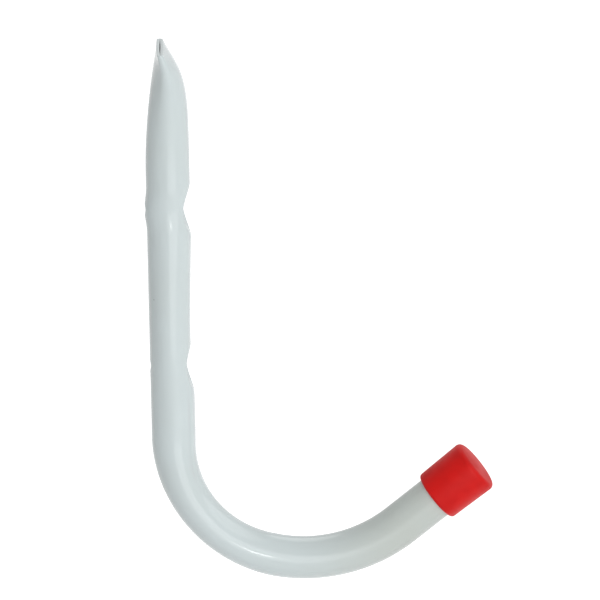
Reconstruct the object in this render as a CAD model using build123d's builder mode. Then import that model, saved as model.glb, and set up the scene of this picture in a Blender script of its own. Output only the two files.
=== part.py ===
from math import cos, pi, radians, sin, tan
import os

from build123d import *

# Wall-mounted storage hook: one length of round steel tube, bent, pinched shut at the top
# and dimpled for two screws, with a moulded cap on the arm.
# +X points away from the wall and +Z up. The back of the shank lies along X = 0.
# The origin is on that line, midway between the two screw holes.
# All sizes are in millimetres and all angles in degrees.

# Tube
tube_diameter = 20.0
tube_wall = 1.2

# Route of the tube, along its middle line
shank_above_hole = 76.2     # upper screw hole to the pinched tip
screw_spacing = 73.5
shank_below_hole = 35.5     # lower screw hole to the start of the bend
tight_bend_radius = 56.5
tight_bend_angle = 77.0
wide_bend_radius = 69.4
wide_bend_angle = 51.0
arm_straight = 43.0         # end of the bend to the tube's cut end

# Bending flattens the tube: all along the bend, and more where it is tight
bend_flatten = 0.8
tight_bend_flatten = 1.6

# Pinched tip: the tube closes to a double wall, more from the front than from the back
tip_thickness = 3.1
tip_back_gap = 6.2          # the back of the tip stands this far off the wall
pinch_length = 60.0
front_power = 5.5           # how suddenly the front closes near the tip
back_power = 1.9            # how suddenly the back does
round_arc = 60.0            # half angle of the front arc where the tube is round
flat_arc = 1.0              # the same where it is pinched flat

# Marks of the dimple press on the shank between and behind the screw seats
squeeze = 1.3               # the front is squeezed in, most just above the lower seat
squeeze_above_hole = 9.0
squeeze_fall = 27.0         # from there down to where the tube is round again
bulge = 0.9                 # the back is pushed out behind the upper seat
bulge_reach = 11.0

# Screw seats: a wide dish, a countersink for the head, and a hole through both walls
hole_diameter = 6.0
seat_diameter = 10.4
seat_angle = 90.0           # included angle of the countersink
dish_slope = 30.0
dish_depth = 6.8            # where the dish's slopes would meet, in from the tube's front
dish_lip_radius = 1.7
seat_edge_radius = 1.0

# Slip-on cap
cap_length = 25.0
cap_floor = 2.5
cap_rim_diameter = 24.2
cap_end_diameter = 25.4
cap_end_dome = 1.0
cap_end_round = 2.4

tube_radius = tube_diameter / 2
upper_hole = screw_spacing / 2
lower_hole = -screw_spacing / 2
tip_height = upper_hole + shank_above_hole
pinch_foot = tip_height - pinch_length
bend_start = lower_hole - shank_below_hole
dish_reach = dish_depth / tan(radians(dish_slope))
squeeze_top = upper_hole - dish_reach - dish_lip_radius
squeeze_height = lower_hole + squeeze_above_hole
squeeze_foot = squeeze_height - squeeze_fall
seat_top = lower_hole + dish_reach + dish_lip_radius
section_pitch = 6.5         # spacing of the sections that the tube is drawn through
pinch_pitch = 4.0           # the same in the pinch, which changes faster
squeeze_pitch = 15.0        # and between the seats, where it changes slowly

with BuildLine(Plane.XZ) as route:
    shank = Line((tube_radius, tip_height), (tube_radius, bend_start))
    tight_bend = JernArc(shank @ 1, shank % 1, tight_bend_radius, tight_bend_angle)
    wide_bend = JernArc(tight_bend @ 1, tight_bend % 1, wide_bend_radius, wide_bend_angle)
    arm = PolarLine(wide_bend @ 1, arm_straight, direction=wide_bend % 1)


def section(middle, heading, front, back, inset):
    """One section of the tube, square to its route: two flat arcs and two tight ones.

    Its outline is always as long as the round tube's, so it grows wider as it gets thinner.
    """
    half = (front + back) / 2
    tip_half = tip_thickness / 2
    openness = (half - tip_half) / (tube_radius - tip_half)
    front_arc = radians(flat_arc + (round_arc - flat_arc) * openness)
    side_arc = pi / 2 - front_arc
    quarter = pi * tube_radius / 2
    front_radius = (half - cos(front_arc) * quarter / side_arc) / (
        1 - cos(front_arc) - front_arc * cos(front_arc) / side_arc
    )
    side_radius = (quarter - front_radius * front_arc) / side_arc
    side_centre = (front_radius - side_radius) * sin(front_arc)
    x = half - front_radius + (front_radius - inset) * cos(front_arc)
    y = (front_radius - inset) * sin(front_arc)
    mid_x = (side_radius - inset) * cos((front_arc + pi / 2) / 2)
    mid_y = (side_radius - inset) * sin((front_arc + pi / 2) / 2) + side_centre
    thick = half - inset
    wide = side_centre + side_radius - inset
    inward = Vector(-heading.Z, 0, heading.X)
    with BuildLine(Plane(middle + inward * (front - back) / 2, inward, heading)):
        arcs = [
            ThreePointArc((x, -y), (thick, 0), (x, y)),
            ThreePointArc((x, y), (mid_x, mid_y), (0, wide)),
            ThreePointArc((0, wide), (-mid_x, mid_y), (-x, y)),
            ThreePointArc((-x, y), (-thick, 0), (-x, -y)),
            ThreePointArc((-x, -y), (-mid_x, -mid_y), (0, -wide)),
            ThreePointArc((0, -wide), (mid_x, -mid_y), (x, -y)),
        ]
    return Face(Wire(arcs))


def shank_shape(height):
    """Distances from the shank's middle line to its front and its back."""
    front = back = tube_radius
    if height > pinch_foot:
        share = (height - pinch_foot) / pinch_length
        front -= (tube_diameter - tip_thickness - tip_back_gap) * share**front_power
        back -= tip_back_gap * share**back_power
    if abs(height - upper_hole) < bulge_reach:
        back += bulge * cos(pi / 2 * (height - upper_hole) / bulge_reach) ** 2
    if squeeze_height <= height < squeeze_top:
        share = (squeeze_top - height) / (squeeze_top - squeeze_height)
        front -= squeeze * sin(pi / 2 * share)
    elif squeeze_foot < height < squeeze_height:
        share = (height - squeeze_foot) / squeeze_fall
        front -= squeeze * sin(pi / 2 * share) ** 2
    return front, back


def bend_shape(distance):
    """Half thickness of the tube in the plane of the bend, at a distance round it."""
    flattening = bend_flatten * sin(pi * distance / (tight_bend.length + wide_bend.length))
    if distance < tight_bend.length:
        flattening += tight_bend_flatten * sin(pi * distance / tight_bend.length)
    return tube_radius - flattening / 2


def shank_sections(top, bottom, inset, pitch=section_pitch):
    """Sections of the shank between two heights."""
    steps = max(1, round((top - bottom) / pitch))
    sections = []
    for step in range(steps + 1):
        height = top + (bottom - top) * step / steps
        front, back = shank_shape(height)
        sections.append(section(Vector(tube_radius, 0, height), shank % 1, front, back, inset))
    return sections


def bend_sections(inset):
    """Sections all round the bend."""
    sections = []
    for arc, start in ((tight_bend, 0), (wide_bend, tight_bend.length)):
        steps = round(arc.length / section_pitch)
        for step in range(bool(start), steps + 1):
            half = bend_shape(start + arc.length * step / steps)
            sections.append(section(arc @ (step / steps), arc % (step / steps), half, half, inset))
    return sections


def punch(height, inset):
    """The punch that presses one screw seat, grown by the wall where it shapes the tube's inside."""
    apex = Vector(tube_diameter - dish_depth, 0, height)
    hole_radius = hole_diameter / 2
    seat_radius = seat_diameter / 2
    seat_rim = seat_radius * tan(radians(dish_slope))
    nose = seat_rim - (seat_radius - hole_radius) / tan(radians(seat_angle / 2))
    far = tube_diameter
    far_radius = far / tan(radians(dish_slope))
    with BuildPart() as tool:
        with BuildSketch(Plane(apex, (1, 0, 0), (0, -1, 0))) as profile:
            with BuildLine():
                Polyline(
                    (nose, -hole_radius), (nose, hole_radius), (seat_rim, seat_radius), (far, far_radius),
                    (far, -far_radius), (seat_rim, -seat_radius), (nose, -hole_radius),
                )
            make_face()
            fillet(profile.vertices().sort_by(Axis.X)[2:4], seat_edge_radius)
            if inset:
                offset(amount=inset)
            split(bisect_by=Plane.XZ)
        revolve(axis=Axis(apex, (1, 0, 0)))
    return tool.part


def tube_form(inset):
    """The tube's outside, or with an inset of the wall its inside.

    It is straight from each close section to the next, and smooth where the seats are pressed in.
    """
    seats_smooth = not inset
    with BuildPart() as form:
        loft(shank_sections(tip_height, pinch_foot, inset, pinch_pitch), ruled=True)
        loft(shank_sections(pinch_foot, squeeze_top, inset), ruled=not seats_smooth)
        loft(shank_sections(squeeze_top, seat_top, inset, squeeze_pitch), ruled=True)
        loft(shank_sections(seat_top, squeeze_foot, inset), ruled=not seats_smooth)
        loft(shank_sections(squeeze_foot, bend_start, inset, shank_below_hole), ruled=True)
        loft(bend_sections(inset), ruled=True)
        loft([section(arm @ share, arm % share, tube_radius, tube_radius, inset) for share in (0, 1)])
        for height in (upper_hole, lower_hole):
            add(punch(height, inset), mode=Mode.SUBTRACT)
            if not inset:
                fillet(form.edges(Select.LAST).filter_by(GeomType.BSPLINE), dish_lip_radius)
    return form.part


outside = tube_form(0)
inside = tube_form(tube_wall)

with BuildPart() as hook_tube:
    add(outside)
    add(inside, mode=Mode.SUBTRACT)
    for height in (upper_hole, lower_hole):
        with Locations(Location((0, 0, height), (0, 90, 0))):
            Cylinder(
                hole_diameter / 2, tube_diameter,
                align=(Align.CENTER, Align.CENTER, Align.MIN), mode=Mode.SUBTRACT,
            )

hook_tube.part.label = "hook_tube"

# The cap's profile lies along the arm, with its X running out from the tube's cut end
with BuildPart() as end_cap:
    rim = cap_floor - cap_length
    rim_radius = cap_rim_diameter / 2
    end_radius = cap_end_diameter / 2
    end_edge = cap_floor - cap_end_dome
    dome_radius = (end_radius**2 + cap_end_dome**2) / (2 * cap_end_dome)
    with BuildSketch(Plane(arm @ 1, arm % 1, (0, -1, 0))) as cap_profile:
        with BuildLine():
            Polyline((cap_floor, 0), (0, 0), (0, tube_radius), (rim, tube_radius), (rim, rim_radius))
            Line((rim, rim_radius), (end_edge, end_radius))
            RadiusArc((end_edge, end_radius), (cap_floor, 0), dome_radius)
        make_face()
        fillet(cap_profile.vertices().sort_by(Axis.Y)[-1], cap_end_round)
    revolve(axis=Axis(arm @ 1, arm % 1))

end_cap.part.label = "end_cap"

os.makedirs("parts", exist_ok=True)
for piece in (hook_tube.part, end_cap.part):
    export_step(piece, f"parts/{piece.label}.step")
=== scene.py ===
"""Wall-mounted storage hook.

A bent, pinched and dimpled steel tube with a white powder coat, and a red moulded cap at the end of its arm.
Lengths are in metres. The back of the shank lies along X = 0, Z points up and Y runs across the hook.
"""

from math import atan2, cos, hypot, pi, radians, sin, sqrt, tan

import bmesh
import bpy
from bpy.props import FloatProperty, FloatVectorProperty, PointerProperty
from bpy.types import Operator, Panel, PropertyGroup
from mathutils import Matrix, Vector


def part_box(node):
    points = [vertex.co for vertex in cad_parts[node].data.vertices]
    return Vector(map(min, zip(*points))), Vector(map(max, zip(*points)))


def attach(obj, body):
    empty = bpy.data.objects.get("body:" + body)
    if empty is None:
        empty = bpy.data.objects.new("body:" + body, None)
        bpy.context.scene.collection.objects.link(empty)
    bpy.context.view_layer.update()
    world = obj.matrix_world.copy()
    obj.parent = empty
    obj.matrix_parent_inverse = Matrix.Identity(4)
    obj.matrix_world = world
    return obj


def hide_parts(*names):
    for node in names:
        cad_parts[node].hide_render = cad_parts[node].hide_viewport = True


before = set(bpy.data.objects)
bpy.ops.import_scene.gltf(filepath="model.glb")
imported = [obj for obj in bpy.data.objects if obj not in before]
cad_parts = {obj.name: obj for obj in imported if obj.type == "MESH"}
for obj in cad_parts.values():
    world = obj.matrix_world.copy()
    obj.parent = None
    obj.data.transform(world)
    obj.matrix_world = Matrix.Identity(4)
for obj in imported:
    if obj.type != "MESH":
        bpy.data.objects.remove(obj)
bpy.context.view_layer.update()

bl_info = {
    "name": "Tube Storage Hook",
    "version": (1, 0, 0),
    "blender": (4, 5, 0),
    "location": "3D View > Sidebar > Hook",
    "description": "Builds a wall-mounted tube hook with its cap, finishes and stage",
    "category": "Add Mesh",
}

MM = 0.001


def length(name, description, default):
    return FloatProperty(name=name, description=description, default=default, unit="LENGTH", precision=4)


def turn(name, description, degrees):
    return FloatProperty(name=name, description=description, default=radians(degrees), subtype="ANGLE")


def share(name, description, default):
    return FloatProperty(name=name, description=description, default=default, subtype="FACTOR", min=0, max=1)


def amount(name, description, default):
    return FloatProperty(
        name=name, description=description, default=default, subtype="UNSIGNED", precision=3
    )


def power(name, description, default):
    return FloatProperty(name=name, description=description, default=default, unit="POWER")


def colour(name, description, red, green, blue):
    """A colour is given as a screen shows it, from 0 to 255, and kept as light, from 0 to 1."""
    light = [((v / 255 + 0.055) / 1.055) ** 2.4 for v in (red, green, blue)]
    return FloatVectorProperty(
        name=name, description=description, default=light, subtype="COLOR", min=0, max=1
    )


class HookTubeSizes(PropertyGroup):
    """Sizes of the bent tube."""

    tube_diameter: length("Tube diameter", "Outside diameter of the tube", 20.0 * MM)
    tube_wall: length("Wall", "Thickness of the tube's wall", 1.2 * MM)
    shank_above_hole: length("Above hole", "Upper screw hole to the pinched tip", 76.2 * MM)
    screw_spacing: length("Screw spacing", "Distance between the two screw holes", 73.5 * MM)
    shank_below_hole: length("Below hole", "Lower screw hole to the start of the bend", 35.5 * MM)
    tight_bend_radius: length("Tight bend", "Radius of the bend's first part", 56.5 * MM)
    tight_bend_angle: turn("Tight bend angle", "Angle of the bend's first part", 77.0)
    wide_bend_radius: length("Wide bend", "Radius of the bend's second part", 69.4 * MM)
    wide_bend_angle: turn("Wide bend angle", "Angle of the bend's second part", 51.0)
    arm_straight: length("Arm", "End of the bend to the tube's cut end", 43.0 * MM)
    bend_flatten: length("Bend flattening", "How much the whole bend is flattened", 0.8 * MM)
    tight_bend_flatten: length("Tight flattening", "How much more the tight part is flattened", 1.6 * MM)
    tip_thickness: length("Tip thickness", "Thickness of the pinched tip", 3.1 * MM)
    tip_back_gap: length("Tip back gap", "How far the back of the tip stands off the wall", 6.2 * MM)
    pinch_length: length("Pinch length", "Length over which the tube closes", 60.0 * MM)
    front_power: amount("Front power", "How suddenly the front closes near the tip", 5.5)
    back_power: amount("Back power", "How suddenly the back closes near the tip", 1.9)
    round_arc: turn("Round arc", "Half angle of the front arc where the tube is round", 60.0)
    flat_arc: turn("Flat arc", "Half angle of the front arc where it is pinched flat", 1.0)
    squeeze: length("Squeeze", "How far the front is squeezed in above the lower seat", 1.3 * MM)
    squeeze_above_hole: length("Squeeze height", "Lower screw hole to the deepest squeeze", 9.0 * MM)
    squeeze_fall: length("Squeeze fall", "From there down to where the tube is round", 27.0 * MM)
    bulge: length("Bulge", "How far the back is pushed out behind the upper seat", 0.9 * MM)
    bulge_reach: length("Bulge reach", "Half height of the bulge", 11.0 * MM)
    hole_diameter: length("Hole", "Diameter of the screw holes", 6.0 * MM)
    seat_diameter: length("Seat", "Diameter of the countersink", 10.4 * MM)
    seat_angle: turn("Seat angle", "Included angle of the countersink", 90.0)
    dish_slope: turn("Dish slope", "Slope of the dish round the countersink", 30.0)
    dish_depth: length("Dish depth", "Where the dish's slopes would meet, in from the front", 6.8 * MM)
    dish_lip_radius: length("Dish lip", "Radius of the dish's outer lip", 1.7 * MM)
    seat_edge_radius: length("Seat edge", "Radius between the dish and the countersink", 1.0 * MM)
    cut_edge: length("Cut edge", "Softening of the tube's cut edges under the coat", 0.25 * MM)


class HookCapSizes(PropertyGroup):
    """Sizes of the slip-on cap."""

    cap_length: length("Cap length", "Length of the cap with its floor", 25.0 * MM)
    cap_floor: length("Floor", "Thickness of the cap's floor", 2.5 * MM)
    rim_diameter: length("Rim diameter", "Outside diameter at the open rim", 24.2 * MM)
    end_diameter: length("End diameter", "Outside diameter at the closed end", 25.4 * MM)
    end_dome: length("Dome", "Height of the domed end", 1.0 * MM)
    end_round: length("End round", "Radius of the closed end's edge", 2.4 * MM)
    rim_round: length("Rim round", "Radius of the open rim's outer edge", 1.5 * MM)
    bore_round: length("Bore round", "Radius of the open rim's inner edge", 0.3 * MM)


class HookFinishes(PropertyGroup):
    """Colours and surface of the powder coat and of the cap."""

    coat_cool: colour("Coat", "The powder coat's main colour", 215, 226, 227)
    # Painted shade: a greyer, darker copy of the coat's colour, laid on the arm where less light falls on it
    coat_painted_shade: colour("Painted arm shade", "The painted shade that greys the coat along the arm", 198, 204, 197)
    coat_roughness: share("Coat roughness", "Roughness of the powder coat", 0.14)
    coat_peel: length("Orange peel", "Height of the coat's orange peel", 0.012 * MM)
    coat_build_up: length("Coat in the slit", "How far the coat fills the slit from each side", 0.28 * MM)
    pinhole_size: length("Pinhole", "Diameter of the pinhole in the coat", 0.8 * MM)
    pinhole_tone: colour("Pinhole tone", "What shows in the pinhole", 120, 126, 124)
    vinyl: colour("Cap", "The cap's main colour", 219, 12, 6)
    vinyl_deep: colour("Cap drift", "The tone that the cap drifts to", 207, 9, 5)
    vinyl_roughness: share("Cap roughness", "Roughness of the cap", 0.5)
    vinyl_grain: length("Cap grain", "Height of the moulded grain", 0.01 * MM)


class HookStage(PropertyGroup):
    """Camera, floor and light."""

    frame_width: length("Frame width", "Width that the picture takes in at the hook", 272.0 * MM)
    aim_x: length("Aim X", "What the middle of the picture shows, out from the shank's back", 68.65 * MM)
    aim_z: length("Aim Z", "What the middle of the picture shows, above the origin", -7.4 * MM)
    elevation: turn("Elevation", "How far the camera looks down", 16.0)
    roll: turn("Roll", "How far the camera leans", -1.27)
    lens: FloatProperty(name="Lens", description="Focal length", default=1500, unit="CAMERA")
    floor_drop: length("Floor drop", "How far the floor lies under the hook", 0.35)
    floor_width: length("Floor width", "Width of the floor", 16.0)
    floor_fill: amount("Floor fill", "What the camera sees of the floor besides its lit colour", 0.78)
    world_light: amount("World light", "Strength of the light from all round", 0.39)
    key_light: power("Key light", "Power of the large lamp", 11.0)
    key_azimuth: turn("Key azimuth", "How far the large lamp stands to the right of the camera", 20.0)
    key_elevation: turn("Key elevation", "How far above the hook the large lamp stands", 4.0)
    key_size: length("Key size", "Diameter of the large lamp", 1.6)
    side_light: power("Side light", "Power of the lamp at the side", 4.6)
    side_azimuth: turn("Side azimuth", "How far the side lamp stands to the right of the camera", 95.0)
    side_elevation: turn("Side elevation", "How far above the hook the side lamp stands", 38.0)
    side_size: length("Side size", "Diameter of the side lamp", 1.4)
    back_light: power("Back light", "Power of the lamp behind", 2.6)
    back_azimuth: turn("Back azimuth", "How far round from the camera the lamp behind stands", 180.0)
    back_elevation: turn("Back elevation", "How far above the hook the lamp behind stands", 48.0)
    back_size: length("Back size", "Diameter of the lamp behind", 0.9)
    spark_light: power("Small light", "Power of the small lamp", 0.8)
    spark_azimuth: turn("Small azimuth", "How far the small lamp stands to the right of the camera", 9.2)
    spark_elevation: turn("Small elevation", "How far above the hook the small lamp stands", -2.5)
    spark_size: length("Small size", "Diameter of the small lamp", 0.05)
    lamp_distance: length("Lamp distance", "How far from the hook the large lamps stand", 1.5)
    spark_distance: length("Small distance", "How far from the hook the small lamp stands", 1.4)


class TubeForm:
    """The tube's shape, worked out from its sizes. A distance runs along its middle line from the tip."""

    def __init__(self, sizes):
        self.s = sizes
        self.radius = sizes.tube_diameter / 2
        self.upper_hole = sizes.screw_spacing / 2
        self.lower_hole = -sizes.screw_spacing / 2
        self.tip_height = self.upper_hole + sizes.shank_above_hole
        self.pinch_foot = self.tip_height - sizes.pinch_length
        self.bend_start = self.lower_hole - sizes.shank_below_hole
        self.shank = self.tip_height - self.bend_start
        self.tight = sizes.tight_bend_radius * sizes.tight_bend_angle
        self.wide = sizes.wide_bend_radius * sizes.wide_bend_angle
        self.end = self.shank + self.tight + self.wide + sizes.arm_straight
        dish_reach = sizes.dish_depth / tan(sizes.dish_slope)
        self.squeeze_top = self.upper_hole - dish_reach - sizes.dish_lip_radius
        self.squeeze_height = self.lower_hole + sizes.squeeze_above_hole
        self.squeeze_foot = self.squeeze_height - sizes.squeeze_fall
        self.apex = sizes.tube_diameter - sizes.dish_depth
        seat_radius = sizes.seat_diameter / 2
        self.seat_rim = self.apex + seat_radius * tan(sizes.dish_slope)
        self.nose = self.seat_rim - (seat_radius - sizes.hole_diameter / 2) / tan(sizes.seat_angle / 2)

    def middle(self, distance):
        """(point, heading, inward) of the middle line: inward points to the inside of the hook."""
        s = self.s
        along = distance - self.shank
        centre = Vector((self.radius + s.tight_bend_radius, 0, self.bend_start))
        if along <= 0:
            point = Vector((self.radius, 0, self.tip_height - distance))
            angle = 0.0
        elif along <= self.tight:
            angle = along / s.tight_bend_radius
            point = centre - s.tight_bend_radius * Vector((cos(angle), 0, sin(angle)))
        else:
            change = Vector((cos(s.tight_bend_angle), 0, sin(s.tight_bend_angle)))
            centre += (s.wide_bend_radius - s.tight_bend_radius) * change
            turned = min((along - self.tight) / s.wide_bend_radius, s.wide_bend_angle)
            angle = s.tight_bend_angle + turned
            point = centre - s.wide_bend_radius * Vector((cos(angle), 0, sin(angle)))
            straight = max(0.0, along - self.tight - self.wide)
            point += straight * Vector((sin(angle), 0, -cos(angle)))
        heading = Vector((sin(angle), 0, -cos(angle)))
        return point, heading, Vector((-heading.z, 0, heading.x))

    def faces(self, distance):
        """(front, back): how far the tube's inner and outer faces stand from its middle line."""
        s = self.s
        front = back = self.radius
        height = self.tip_height - distance
        along = distance - self.shank
        if height > self.pinch_foot:
            part = (height - self.pinch_foot) / s.pinch_length
            front -= (s.tube_diameter - s.tip_thickness - s.tip_back_gap) * part**s.front_power
            back -= s.tip_back_gap * part**s.back_power
        if abs(height - self.upper_hole) < s.bulge_reach:
            back += s.bulge * cos(pi / 2 * (height - self.upper_hole) / s.bulge_reach) ** 2
        if self.squeeze_height <= height < self.squeeze_top:
            part = (self.squeeze_top - height) / (self.squeeze_top - self.squeeze_height)
            front -= s.squeeze * sin(pi / 2 * part)
        elif self.squeeze_foot < height < self.squeeze_height:
            front -= s.squeeze * sin(pi / 2 * (height - self.squeeze_foot) / s.squeeze_fall) ** 2
        if 0 < along < self.tight + self.wide:
            flattening = s.bend_flatten * sin(pi * along / (self.tight + self.wide))
            if along < self.tight:
                flattening += s.tight_bend_flatten * sin(pi * along / self.tight)
            front -= flattening / 2
            back -= flattening / 2
        return front, back

    def oval(self, distance):
        """The section there: two flat arcs and two tight ones, always as long as the round outline."""
        s = self.s
        front, back = self.faces(distance)
        half = (front + back) / 2
        tip_half = s.tip_thickness / 2
        openness = (half - tip_half) / (self.radius - tip_half)
        front_arc = s.flat_arc + (s.round_arc - s.flat_arc) * openness
        side_arc = pi / 2 - front_arc
        quarter = pi * self.radius / 2
        front_radius = (half - cos(front_arc) * quarter / side_arc) / (
            1 - cos(front_arc) - front_arc * cos(front_arc) / side_arc
        )
        side_radius = (quarter - front_radius * front_arc) / side_arc
        side_centre = (front_radius - side_radius) * sin(front_arc)
        return (front - back) / 2, half, front_arc, front_radius, side_radius, side_centre

    def outline_point(self, oval, part, inset):
        """(inward, across) of a point part of the way round an oval, from the middle of its front."""
        shift, half, front_arc, front_radius, side_radius, side_centre = oval
        quarters = part * 4 % 4
        run = min(quarters % 2, 2 - quarters % 2) * pi * self.radius / 2
        if run <= front_radius * front_arc:
            angle = run / front_radius
            across = (front_radius - inset) * sin(angle)
            inward = half - front_radius + (front_radius - inset) * cos(angle)
        else:
            angle = front_arc + (run - front_radius * front_arc) / side_radius
            across = side_centre + (side_radius - inset) * sin(angle)
            inward = (side_radius - inset) * cos(angle)
        if 1 < quarters < 3:
            inward = -inward
        if quarters > 2:
            across = -across
        return inward + shift, across

    def place(self, distance, inward, across):
        point, heading, inward_way = self.middle(distance)
        return point + inward_way * inward + Vector((0, across, 0))

    def face_height(self, across, height, inset, side):
        """X of the shank's front (side 1) or back (side -1) at a place on it."""
        shift, half, front_arc, front_radius, side_radius, side_centre = self.oval(self.tip_height - height)
        across = abs(across)
        if across <= (front_radius - inset) * sin(front_arc):
            inward = half - front_radius + sqrt((front_radius - inset) ** 2 - across**2)
        else:
            inward = sqrt(max(0.0, (side_radius - inset) ** 2 - (across - side_centre) ** 2))
        return self.radius + shift + side * inward

    def dish_height(self, reach, inset):
        """X of the pressed seat at a distance from the screw's axis, offset inwards by inset."""
        s = self.s
        seat_radius = s.seat_diameter / 2
        dish = self.apex + reach * tan(s.dish_slope) - inset / cos(s.dish_slope)
        sink = self.seat_rim - (seat_radius - reach) / tan(s.seat_angle / 2) - inset / sin(s.seat_angle / 2)
        return max(self.nose - inset, min(dish, sink))


class Skin:
    """Gathers a mesh: points, faces and the loops that join its parts."""

    def __init__(self):
        self.points = []
        self.faces = []

    def add(self, point):
        self.points.append(tuple(point))
        return len(self.points) - 1

    def band(self, one, two):
        """Four-sided faces between two loops of as many points."""
        for i in range(len(one)):
            j = (i + 1) % len(one)
            self.faces.append((one[i], one[j], two[j], two[i]))

    def fan(self, loop, middle):
        for i in range(len(loop)):
            self.faces.append((loop[i], loop[(i + 1) % len(loop)], middle))

    def finish(self, name):
        """Makes the object, with smooth shading apart from its sharp edges."""
        mesh = bpy.data.meshes.new(name)
        mesh.from_pydata(self.points, [], self.faces)
        shell = bmesh.new()
        shell.from_mesh(mesh)
        loose = [point for point in shell.verts if not point.link_faces]
        bmesh.ops.delete(shell, geom=loose, context="VERTS")
        bmesh.ops.recalc_face_normals(shell, faces=shell.faces)
        if not all(edge.is_manifold for edge in shell.edges):
            raise RuntimeError(f"the mesh of {name} isn't closed")
        shell.to_mesh(mesh)
        shell.free()
        mesh.shade_smooth()
        mesh.set_sharp_from_angle(angle=SHARP_ANGLE)
        made = bpy.data.objects.new(name, mesh)
        bpy.context.scene.collection.objects.link(made)
        return made


# Fineness of the meshes
AROUND = 120             # points round the tube
CAP_AROUND = 128         # and round the cap
PINCH_STEP = 1.0 * MM    # spacing of the tube's rings in the pinch
SHANK_STEP = 2.5 * MM    # along the shank and the arm
BEND_STEP = 2.0 * MM     # and round the bend
SEAT_STEP = 1.0 * MM     # spacing of the rings beside a seat's patch
SEAT_HALF = 15.0 * MM    # how far the patch reaches up and down the tube
SEAT_COLUMNS = 22        # and how many points it reaches each way round it
SINK_STEPS = 4           # steps from the hole out to the countersink's edge
DISH_STEPS = 5           # over the dish
LIP_STEPS = 7            # over its lip
FACE_STEPS = 4           # and over the tube beyond it
BACK_STEPS = 9           # the same behind, where there is only the hole
CUT_STEPS = 3            # steps round each edge of a cut end
BORE_STEPS = 3           # round the cap's inner edge
RIM_STEPS = 8            # round its rim
END_STEPS = 10           # round its closed end's edge
DOME_STEPS = 8           # and in to the middle of its dome
HALVINGS = 40            # tries to find where the dish meets the tube
END_TRIES = 20           # tries to find where the cap's edge meets its dome
SLOPE_STEP = 0.02 * MM   # distance over which the tube's slope is taken
LEAST_LIP = 0.2 * MM     # smallest radius that the dish's lip keeps inside the wall
SHARP_ANGLE = radians(38)

# Places and sizes of the finishes
COAT_REACH = 8.0 * MM               # how deep the coat runs into the slit
# Painted shade: from here out the coat is made greyer along the arm, standing in for the weaker light there
PAINTED_SHADE_FROM = 50.0 * MM            # the painted shade on the arm begins this far out from the wall
PAINTED_SHADE_TO = 125.0 * MM             # and is whole here
PAINTED_SHADE_SHARE = 0.8                 # how far the painted shade greys the arm's coat
COAT_DRIFT_SHARE = 0.12             # and how far the patches go everywhere
COAT_DRIFT_SIZE = 28.0 * MM
COAT_GLOSS_DRIFT = (-0.02, 0.04)
PEEL_SIZE = 2.2 * MM
PEEL_GRAIN = 0.15
PINHOLE_PLACE = (2.7 * MM, -6.8 * MM, -3.8 * MM)
PINHOLE_EDGE = (0.25, 0.6)          # where its edge begins and ends, as shares of its diameter
PINHOLE_DEPTH = 3.0                 # in heights of the orange peel
COAT_IOR = 1.5
CAP_DRIFT_SIZE = 12.0 * MM
CAP_GLOSS_DRIFT = (-0.04, 0.06)
CAP_GRAIN_SIZE = 3.5 * MM
CAP_GRAIN = 0.3
CAP_SPECULAR = 0.25
DRIFT_EDGES = (0.32, 0.68)          # the cloud's levels at which a patch begins and is whole
GRAIN_FINENESS = 4.3                # how much finer the grain is than the swells

# Stage
FLOOR_TONES = ((0.86, 0.86, 0.86, 1), (0.83, 0.835, 0.84, 1))
FLOOR_DRIFT_SIZE = 0.6
FLOOR_ROUGHNESS = 0.9
FLOOR_SPECULAR = 0.1
CAMERA_REACH = 50.0


def steps_between(start, finish, steps):
    """Even steps from start to finish, with both."""
    return [start + (finish - start) * i / steps for i in range(steps + 1)]


def stations(form):
    """Distances of the tube's rings from the tip, with each ring's place in a seat's patch."""
    stops = [form.s.cut_edge]

    def run_to(stop, step):
        steps = max(1, round((stop - stops[-1]) / step))
        stops.extend(steps_between(stops[-1], stop, steps)[1:])

    blocks = []
    for height, step in ((form.upper_hole, PINCH_STEP), (form.lower_hole, SHANK_STEP)):
        run_to(form.tip_height - height - SEAT_HALF, step)
        top = len(stops) - 1
        run_to(form.tip_height - height + SEAT_HALF, SEAT_STEP)
        blocks.append((height, top, len(stops) - 1))
    run_to(form.shank, SHANK_STEP)
    run_to(form.shank + form.tight + form.wide, BEND_STEP)
    run_to(form.end - form.s.cut_edge, SHANK_STEP)
    return stops, blocks


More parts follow.
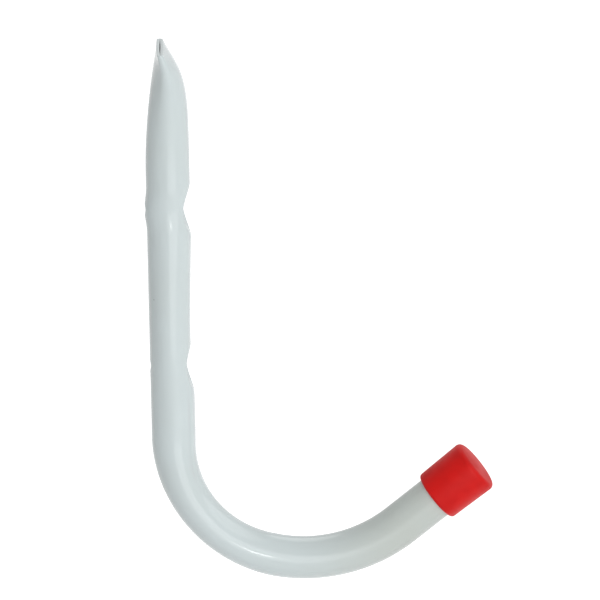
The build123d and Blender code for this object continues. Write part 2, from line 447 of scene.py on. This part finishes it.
def seat_reaches(form, height, way, edge, inset, side):
    """Distances from the screw's axis, one way out to the patch's edge, with the surface's X at each."""
    s = form.s
    hole = s.hole_diameter / 2
    across, up = way

    def tube_at(reach):
        return form.face_height(reach * across, height + reach * up, inset, side)

    if side < 0:
        return [(reach, tube_at(reach)) for reach in steps_between(hole, edge, BACK_STEPS)[:-1]]
    seat = s.seat_diameter / 2
    low, high = seat, edge
    for _ in range(HALVINGS):
        between = (low + high) / 2
        if form.dish_height(between, inset) < tube_at(between):
            low = between
        else:
            high = between
    rim = low
    fall = (tube_at(rim - SLOPE_STEP) - tube_at(rim + SLOPE_STEP)) / (2 * SLOPE_STEP)
    turned = s.dish_slope + atan2(fall, 1)
    tangent = max(s.dish_lip_radius - inset, LEAST_LIP) * tan(turned / 2)
    dish_end = rim - tangent * cos(s.dish_slope)
    tube_start = rim + tangent * cos(atan2(fall, 1))
    soft = s.seat_edge_radius * tan((s.seat_angle / 2 - s.dish_slope) / 2)
    reaches = steps_between(hole, seat - soft, SINK_STEPS)
    reaches += steps_between(seat + soft, dish_end, DISH_STEPS)[:-1]
    profile = [(reach, form.dish_height(reach, inset)) for reach in reaches]
    lip = (
        (dish_end, form.dish_height(dish_end, inset)),
        (rim, form.dish_height(rim, inset)),
        (tube_start, tube_at(tube_start)),
    )
    for t in steps_between(0, 1, LIP_STEPS):
        weights = ((1 - t) ** 2, 2 * t * (1 - t), t * t)
        profile.append(tuple(sum(w * spot[k] for w, spot in zip(weights, lip)) for k in (0, 1)))
    return profile + [(reach, tube_at(reach)) for reach in steps_between(tube_start, edge, FACE_STEPS)[1:-1]]


def seat_patch(skin, form, height, border, inset, side):
    """Fills a patch round a screw's axis out to its border, and returns the loop at the hole."""
    rings = []
    for index in border:
        x, y, z = skin.points[index]
        edge = hypot(y, z - height)
        way = (y / edge, (z - height) / edge)
        spoke = seat_reaches(form, height, way, edge, inset, side)
        rings.append([skin.add((high, reach * way[0], height + reach * way[1])) for reach, high in spoke])
    loops = [list(loop) for loop in zip(*rings)]
    for one, two in zip(loops, loops[1:] + [border]):
        skin.band(one, two)
    return loops[0]


def tube_wall_skin(skin, form, inset, build_up=0):
    """One face of the tube's wall, outside or inside. Returns its end loops and its loops at the holes.

    The coat builds up on the inside where it runs into the pinched slit.
    """
    stops, blocks = stations(form)
    rings = []
    for distance in stops:
        oval = form.oval(distance)
        coated = inset + build_up * max(0, 1 - distance / COAT_REACH)
        ring = [form.outline_point(oval, i / AROUND, coated) for i in range(AROUND)]
        rings.append([skin.add(form.place(distance, *spot)) for spot in ring])
    patched = {}
    for height, top, bottom in blocks:
        for side, centre in ((1, 0), (-1, AROUND // 2)):
            patched[(height, side)] = (top, bottom, centre)
    for row in range(len(rings) - 1):
        for i in range(AROUND):
            inside = any(
                top <= row < bottom and (i - centre + SEAT_COLUMNS) % AROUND < 2 * SEAT_COLUMNS
                for top, bottom, centre in patched.values()
            )
            if not inside:
                j = (i + 1) % AROUND
                skin.faces.append((rings[row][i], rings[row][j], rings[row + 1][j], rings[row + 1][i]))
    holes = {}
    for (height, side), (top, bottom, centre) in patched.items():
        columns = [(centre + k) % AROUND for k in range(-SEAT_COLUMNS, SEAT_COLUMNS + 1)]
        border = [rings[top][c] for c in columns]
        border += [rings[row][columns[-1]] for row in range(top + 1, bottom)]
        border += [rings[bottom][c] for c in reversed(columns)]
        border += [rings[row][columns[0]] for row in range(bottom - 1, top, -1)]
        holes[(height, side)] = seat_patch(skin, form, height, border, inset, side)
    return rings[0], rings[-1], holes


def end_edge(skin, form, outer, inner, end, back_way):
    """Closes the wall at a cut end, with both its edges rounded as the coat rounds them."""
    soft = form.s.cut_edge
    angles = steps_between(0, pi / 2, CUT_STEPS)[1:]
    corner = [(soft * (1 - cos(angle)), soft * (1 - sin(angle))) for angle in angles]
    corner += [(form.s.tube_wall - inset, back) for inset, back in reversed(corner)]
    loops = [outer]
    for inset, back in corner:
        distance = end + back_way * back
        oval = form.oval(distance)
        ring = [form.outline_point(oval, i / AROUND, inset) for i in range(AROUND)]
        loops.append([skin.add(form.place(distance, *spot)) for spot in ring])
    for one, two in zip(loops, loops[1:] + [inner]):
        skin.band(one, two)


def cap_profile(cap, bore):
    """(along, out) of the cap's section, from its floor inside by the bore, rim and side to its end."""
    rim = cap.cap_floor - cap.cap_length
    rim_radius = cap.rim_diameter / 2
    end_radius = cap.end_diameter / 2
    taper = (end_radius - rim_radius) / (cap.cap_length - cap.end_dome)
    dome = (end_radius**2 + cap.end_dome**2) / (2 * cap.end_dome)
    dome_centre = cap.cap_floor - dome
    spot = 0.0
    for _ in range(END_TRIES):
        out = rim_radius + taper * (spot - rim) - cap.end_round * sqrt(1 + taper**2)
        spot = dome_centre + sqrt((dome - cap.end_round) ** 2 - out**2)
    lip = cap.bore_round
    profile = [(0, 0), (0, bore - lip), (-lip, bore)]
    for angle in steps_between(0, pi / 2, BORE_STEPS):
        profile.append((rim + lip * (1 - sin(angle)), bore + lip * (1 - cos(angle))))
    lip = cap.rim_round
    for angle in steps_between(0, pi / 2, RIM_STEPS):
        spread = rim_radius + taper * lip * (1 - cos(angle))
        profile.append((rim + lip * (1 - cos(angle)), spread - lip * (1 - sin(angle))))
    profile.append(((rim + spot) / 2, rim_radius + taper * (spot - rim) / 2))
    side = pi / 2 + atan2(taper, 1)
    domed = atan2(out, spot - dome_centre)
    for angle in steps_between(side, domed, END_STEPS):
        profile.append((spot + cap.end_round * cos(angle), out + cap.end_round * sin(angle)))
    for angle in steps_between(domed, 0, DOME_STEPS)[1:-1]:
        profile.append((dome_centre + dome * cos(angle), dome * sin(angle)))
    return profile + [(cap.cap_floor, 0)]


class Nodes:
    """Adds nodes to a node tree. An input is fed a plain value or another node's output."""

    def __init__(self, tree):
        self.tree = tree

    def feed(self, node, feeds):
        for key, value in feeds.items():
            if isinstance(value, bpy.types.NodeSocket):
                self.tree.links.new(value, node.inputs[key])
            else:
                node.inputs[key].default_value = value
        return node

    def add(self, kind, feeds=None, **settings):
        made = self.tree.nodes.new(kind if kind.startswith("NodeGroup") else "ShaderNode" + kind)
        for name, value in settings.items():
            setattr(made, name, value)
        return self.feed(made, feeds or {})

    def group(self, tree, feeds):
        return self.add("Group", feeds, node_tree=tree)

    def calc(self, operation, one, two):
        return self.add("Math", {0: one, 1: two}, operation=operation).outputs[0]

    def mix(self, mask, one, two):
        """Mixes two colours. A mix node has a socket for each kind of value, and these are the colours'."""
        return self.add("Mix", {0: mask, 6: one, 7: two}, data_type="RGBA").outputs[2]

    def fade(self, value, start, finish, one=0.0, two=1.0):
        """Goes smoothly from one to two while a value goes from start to finish."""
        limits = {"Value": value, "From Min": start, "From Max": finish, "To Min": one, "To Max": two}
        return self.add("MapRange", limits, interpolation_type="SMOOTHSTEP").outputs["Result"]

    def vary(self, mask, value, drift):
        """A value that drifts from its lowest to its highest with a mask."""
        return self.fade(mask, 0.0, 1.0, value + drift[0], value + drift[1])


def shader_group(name, inputs, outputs):
    """An empty group with named sockets, its nodes, and the nodes that stand for its two ends."""
    tree = bpy.data.node_groups.new(name, "ShaderNodeTree")
    for label, kind, default in inputs:
        socket = tree.interface.new_socket(name=label, in_out="INPUT", socket_type="NodeSocket" + kind)
        if default is not None:
            socket.default_value = default
    for label, kind in outputs:
        tree.interface.new_socket(name=label, in_out="OUTPUT", socket_type="NodeSocket" + kind)
    nodes = Nodes(tree)
    return nodes, nodes.add("NodeGroupInput").outputs, nodes.add("NodeGroupOutput")


def tone_drift():
    """Broad, soft patches, as a film of paint or a dipped skin varies over a part."""
    if "Tone Drift" in bpy.data.node_groups:
        return bpy.data.node_groups["Tone Drift"]
    nodes, given, result = shader_group(
        "Tone Drift", [("Position", "Vector", None), ("Size", "Float", 0.03)], [("Mask", "Float")]
    )
    scale = nodes.calc("DIVIDE", 1.0, given["Size"])
    cloud = nodes.add("TexNoise", {"Vector": given["Position"], "Scale": scale, "Detail": 2.0})
    nodes.feed(result, {"Mask": nodes.fade(cloud.outputs["Fac"], *DRIFT_EDGES)})
    return nodes.tree


def surface_relief():
    """Low swells with a finer grain on them, such as orange peel or the skin of a moulding."""
    if "Surface Relief" in bpy.data.node_groups:
        return bpy.data.node_groups["Surface Relief"]
    nodes, given, result = shader_group(
        "Surface Relief",
        [("Position", "Vector", None), ("Size", "Float", 0.002), ("Grain", "Float", 0.2)],
        [("Height", "Float")],
    )
    swell_scale = nodes.calc("DIVIDE", 1.0, given["Size"])
    grain_scale = nodes.calc("MULTIPLY", swell_scale, GRAIN_FINENESS)
    heights = []
    for scale, detail in ((swell_scale, 1.0), (grain_scale, 0.0)):
        cloud = nodes.add("TexNoise", {"Vector": given["Position"], "Scale": scale, "Detail": detail})
        heights.append(cloud.outputs["Fac"])
    grain = nodes.calc("MULTIPLY", heights[1], given["Grain"])
    nodes.feed(result, {"Height": nodes.calc("ADD", heights[0], grain)})
    return nodes.tree


def blank_material(name):
    """A new material with its nodes, its Principled shader and the position on the part."""
    material = bpy.data.materials.new(name)
    material.use_nodes = True
    nodes = Nodes(material.node_tree)
    surface = material.node_tree.nodes["Principled BSDF"]
    return material, nodes, surface, nodes.add("TexCoord").outputs["Object"]


def powder_coat(finish):
    """White powder coat: half gloss, with a fine orange peel, a faint drift of tone, painted shade along the
    arm and one pinhole.
    """
    material, nodes, surface, place = blank_material("powder_coat")
    drift = nodes.group(tone_drift(), {"Position": place, "Size": COAT_DRIFT_SIZE}).outputs["Mask"]
    out_from_wall = nodes.add("SeparateXYZ", {0: place}).outputs["X"]
    # Painted shade: the coat fades to the greyer colour out along the arm, with the random drift of tone
    # added on top
    painted_arm_shade = nodes.calc("MULTIPLY", nodes.fade(out_from_wall, PAINTED_SHADE_FROM, PAINTED_SHADE_TO), PAINTED_SHADE_SHARE)
    shade_and_drift = nodes.calc("ADD", painted_arm_shade, nodes.calc("MULTIPLY", drift, COAT_DRIFT_SHARE))
    tone = nodes.mix(shade_and_drift, (*finish.coat_cool, 1), (*finish.coat_painted_shade, 1))
    reach = nodes.add("VectorMath", {0: place, 1: PINHOLE_PLACE}, operation="DISTANCE").outputs["Value"]
    edge = [finish.pinhole_size * part for part in PINHOLE_EDGE]
    pinhole = nodes.fade(reach, *edge, 1.0, 0.0)
    swells = {"Position": place, "Size": PEEL_SIZE, "Grain": PEEL_GRAIN}
    relief = nodes.group(surface_relief(), swells).outputs["Height"]
    sunk = nodes.calc("SUBTRACT", relief, nodes.calc("MULTIPLY", pinhole, PINHOLE_DEPTH))
    nodes.feed(surface, {
        "Base Color": nodes.mix(pinhole, tone, (*finish.pinhole_tone, 1)),
        "Roughness": nodes.vary(drift, finish.coat_roughness, COAT_GLOSS_DRIFT),
        "Normal": nodes.add("Bump", {"Distance": finish.coat_peel, "Height": sunk}).outputs["Normal"],
        "IOR": COAT_IOR,
    })
    return material


def cap_vinyl(finish):
    """Red moulded vinyl: half gloss, with a softly uneven skin."""
    material, nodes, surface, place = blank_material("cap_vinyl")
    drift = nodes.group(tone_drift(), {"Position": place, "Size": CAP_DRIFT_SIZE}).outputs["Mask"]
    swells = {"Position": place, "Size": CAP_GRAIN_SIZE, "Grain": CAP_GRAIN}
    relief = nodes.group(surface_relief(), swells).outputs["Height"]
    nodes.feed(surface, {
        "Base Color": nodes.mix(drift, (*finish.vinyl, 1), (*finish.vinyl_deep, 1)),
        "Roughness": nodes.vary(drift, finish.vinyl_roughness, CAP_GLOSS_DRIFT),
        "Normal": nodes.add("Bump", {"Distance": finish.vinyl_grain, "Height": relief}).outputs["Normal"],
        "Specular IOR Level": CAP_SPECULAR,
    })
    return material


def seen_directly(nodes):
    """1 for rays of the camera, and for those that a gloss or a clear thing sends on; 0 for all others."""
    path = nodes.add("LightPath").outputs
    seen = nodes.calc("MAXIMUM", path["Is Camera Ray"], path["Is Glossy Ray"])
    return nodes.calc("MAXIMUM", seen, path["Is Transmission Ray"])


def hook_stage_floor(stage):
    """A pale floor that fills up to white where the camera sees it, and keeps its shadow."""
    material, nodes, surface, place = blank_material("pale_floor")
    drift = nodes.group(tone_drift(), {"Position": place, "Size": FLOOR_DRIFT_SIZE}).outputs["Mask"]
    nodes.feed(surface, {
        "Base Color": nodes.mix(drift, *FLOOR_TONES),
        "Roughness": FLOOR_ROUGHNESS,
        "Specular IOR Level": FLOOR_SPECULAR,
        "Emission Color": nodes.mix(seen_directly(nodes), (0, 0, 0, 1), (1, 1, 1, 1)),
        "Emission Strength": stage.floor_fill,
    })
    return material


class HOOK_OT_build_tube(Operator):
    """Build the bent tube with its pinched tip and pressed screw seats"""

    bl_idname = "hook.build_tube"
    bl_label = "Bent tube"

    def execute(self, context):
        form = TubeForm(context.scene.hook_tube)
        skin = Skin()
        outer_tip, outer_end, outer_holes = tube_wall_skin(skin, form, 0)
        build_up = context.scene.hook_finish.coat_build_up
        inner_tip, inner_end, inner_holes = tube_wall_skin(skin, form, form.s.tube_wall, build_up)
        end_edge(skin, form, outer_tip, inner_tip, 0, 1)
        end_edge(skin, form, outer_end, inner_end, form.end, -1)
        for key in outer_holes:
            skin.band(outer_holes[key], inner_holes[key])
        tube = skin.finish("bent_tube")
        tube.data.materials.append(powder_coat(context.scene.hook_finish))
        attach(tube, "root")
        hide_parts("hook_tube")
        return {"FINISHED"}


class HOOK_OT_build_cap(Operator):
    """Build the slip-on cap at the end of the arm"""

    bl_idname = "hook.build_cap"
    bl_label = "Cap"

    def execute(self, context):
        form = TubeForm(context.scene.hook_tube)
        skin = Skin()
        cut_end, heading, inward = form.middle(form.end)
        loops = []
        profile = cap_profile(context.scene.hook_cap, form.radius)
        for along, out in profile[1:-1]:
            loop = []
            for i in range(CAP_AROUND):
                angle = 2 * pi * i / CAP_AROUND
                way = Vector((0, cos(angle), 0)) + inward * sin(angle)
                loop.append(skin.add(cut_end + heading * along + way * out))
            loops.append(loop)
        for one, two in zip(loops, loops[1:]):
            skin.band(one, two)
        for loop, (along, out) in ((loops[0], profile[0]), (loops[-1], profile[-1])):
            skin.fan(loop, skin.add(cut_end + heading * along))
        cap = skin.finish("vinyl_cap")
        cap.data.materials.append(cap_vinyl(context.scene.hook_finish))
        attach(cap, "root")
        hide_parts("end_cap")
        return {"FINISHED"}


class HOOK_OT_set_stage(Operator):
    """Set the camera, the pale floor and the soft light"""

    bl_idname = "hook.set_stage"
    bl_label = "Stage"

    def execute(self, context):
        scene = context.scene
        stage = scene.hook_stage
        aim = Vector((stage.aim_x, 0, stage.aim_z))
        scene.view_settings.view_transform = "Standard"
        self.set_camera(scene, stage, aim)
        self.lay_floor(scene, stage)
        self.light_world(scene, stage)
        for lamp, distance in (
            ("key", stage.lamp_distance),
            ("side", stage.lamp_distance),
            ("back", stage.lamp_distance),
            ("spark", stage.spark_distance),
        ):
            self.hang_lamp(scene, stage, aim, lamp, distance)
        return {"FINISHED"}

    def hang_lamp(self, scene, stage, aim, lamp, distance):
        """A round lamp that faces the hook, from the stage's settings that begin with its name."""
        azimuth = getattr(stage, lamp + "_azimuth")
        elevation = getattr(stage, lamp + "_elevation")
        data = bpy.data.lights.new(lamp + "_lamp", "AREA")
        data.shape = "DISK"
        data.size = getattr(stage, lamp + "_size")
        data.energy = getattr(stage, lamp + "_light")
        from_hook = Vector((sin(azimuth) * cos(elevation), -cos(azimuth) * cos(elevation), sin(elevation)))
        hung = bpy.data.objects.new(data.name, data)
        hung.matrix_world = Matrix.Translation(aim + distance * from_hook) @ (
            from_hook.to_track_quat("Z", "Y").to_matrix().to_4x4()
        )
        scene.collection.objects.link(hung)

    def set_camera(self, scene, stage, aim):
        data = bpy.data.cameras.new("front_camera")
        data.lens = stage.lens
        data.clip_end = CAMERA_REACH
        camera = bpy.data.objects.new("front_camera", data)
        distance = stage.frame_width * data.lens / data.sensor_width
        towards = Vector((0, -cos(stage.elevation), sin(stage.elevation)))
        camera.matrix_world = (
            Matrix.Translation(aim + distance * towards)
            @ Matrix.Rotation(pi / 2 - stage.elevation, 4, "X")
            @ Matrix.Rotation(stage.roll, 4, "Z")
        )
        scene.collection.objects.link(camera)
        scene.camera = camera

    def lay_floor(self, scene, stage):
        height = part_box("hook_tube")[0][2] - stage.floor_drop
        half = stage.floor_width / 2
        corners = [(x * half, y * half, height) for x, y in ((-1, -1), (1, -1), (1, 1), (-1, 1))]
        mesh = bpy.data.meshes.new("floor")
        mesh.from_pydata(corners, [], [(0, 1, 2, 3)])
        floor = bpy.data.objects.new("floor", mesh)
        floor.data.materials.append(hook_stage_floor(stage))
        scene.collection.objects.link(floor)

    def light_world(self, scene, stage):
        world = bpy.data.worlds.new("studio")
        world.use_nodes = True
        scene.world = world
        nodes = Nodes(world.node_tree)
        strength = nodes.calc("MAXIMUM", seen_directly(nodes), stage.world_light)
        nodes.feed(world.node_tree.nodes["Background"], {"Color": (1, 1, 1, 1), "Strength": strength})


class HOOK_PT_parts(Panel):
    """Lists the hook's pieces and what can be changed"""

    bl_label = "Tube Storage Hook"
    bl_space_type = "VIEW_3D"
    bl_region_type = "UI"
    bl_category = "Hook"

    def draw(self, context):
        for operator, group in (
            (HOOK_OT_build_tube, "hook_tube"),
            (HOOK_OT_build_cap, "hook_cap"),
            (None, "hook_finish"),
            (HOOK_OT_set_stage, "hook_stage"),
        ):
            box = self.layout.box()
            if operator:
                box.operator(operator.bl_idname)
            settings = getattr(context.scene, group)
            for name in type(settings).__annotations__:
                box.prop(settings, name)


GROUPS = {
    "hook_tube": HookTubeSizes,
    "hook_cap": HookCapSizes,
    "hook_finish": HookFinishes,
    "hook_stage": HookStage,
}
OPERATORS = (HOOK_OT_build_tube, HOOK_OT_build_cap, HOOK_OT_set_stage)


def register():
    for name, group in GROUPS.items():
        bpy.utils.register_class(group)
        setattr(bpy.types.Scene, name, PointerProperty(type=group))
    for operator in OPERATORS:
        bpy.utils.register_class(operator)
    bpy.utils.register_class(HOOK_PT_parts)


def unregister():
    bpy.utils.unregister_class(HOOK_PT_parts)
    for operator in reversed(OPERATORS):
        bpy.utils.unregister_class(operator)
    for name, group in reversed(GROUPS.items()):
        delattr(bpy.types.Scene, name)
        bpy.utils.unregister_class(group)


def main():
    register()
    bpy.ops.hook.build_tube()
    bpy.ops.hook.build_cap()
    bpy.ops.hook.set_stage()


if __name__ == "__main__":
    main()
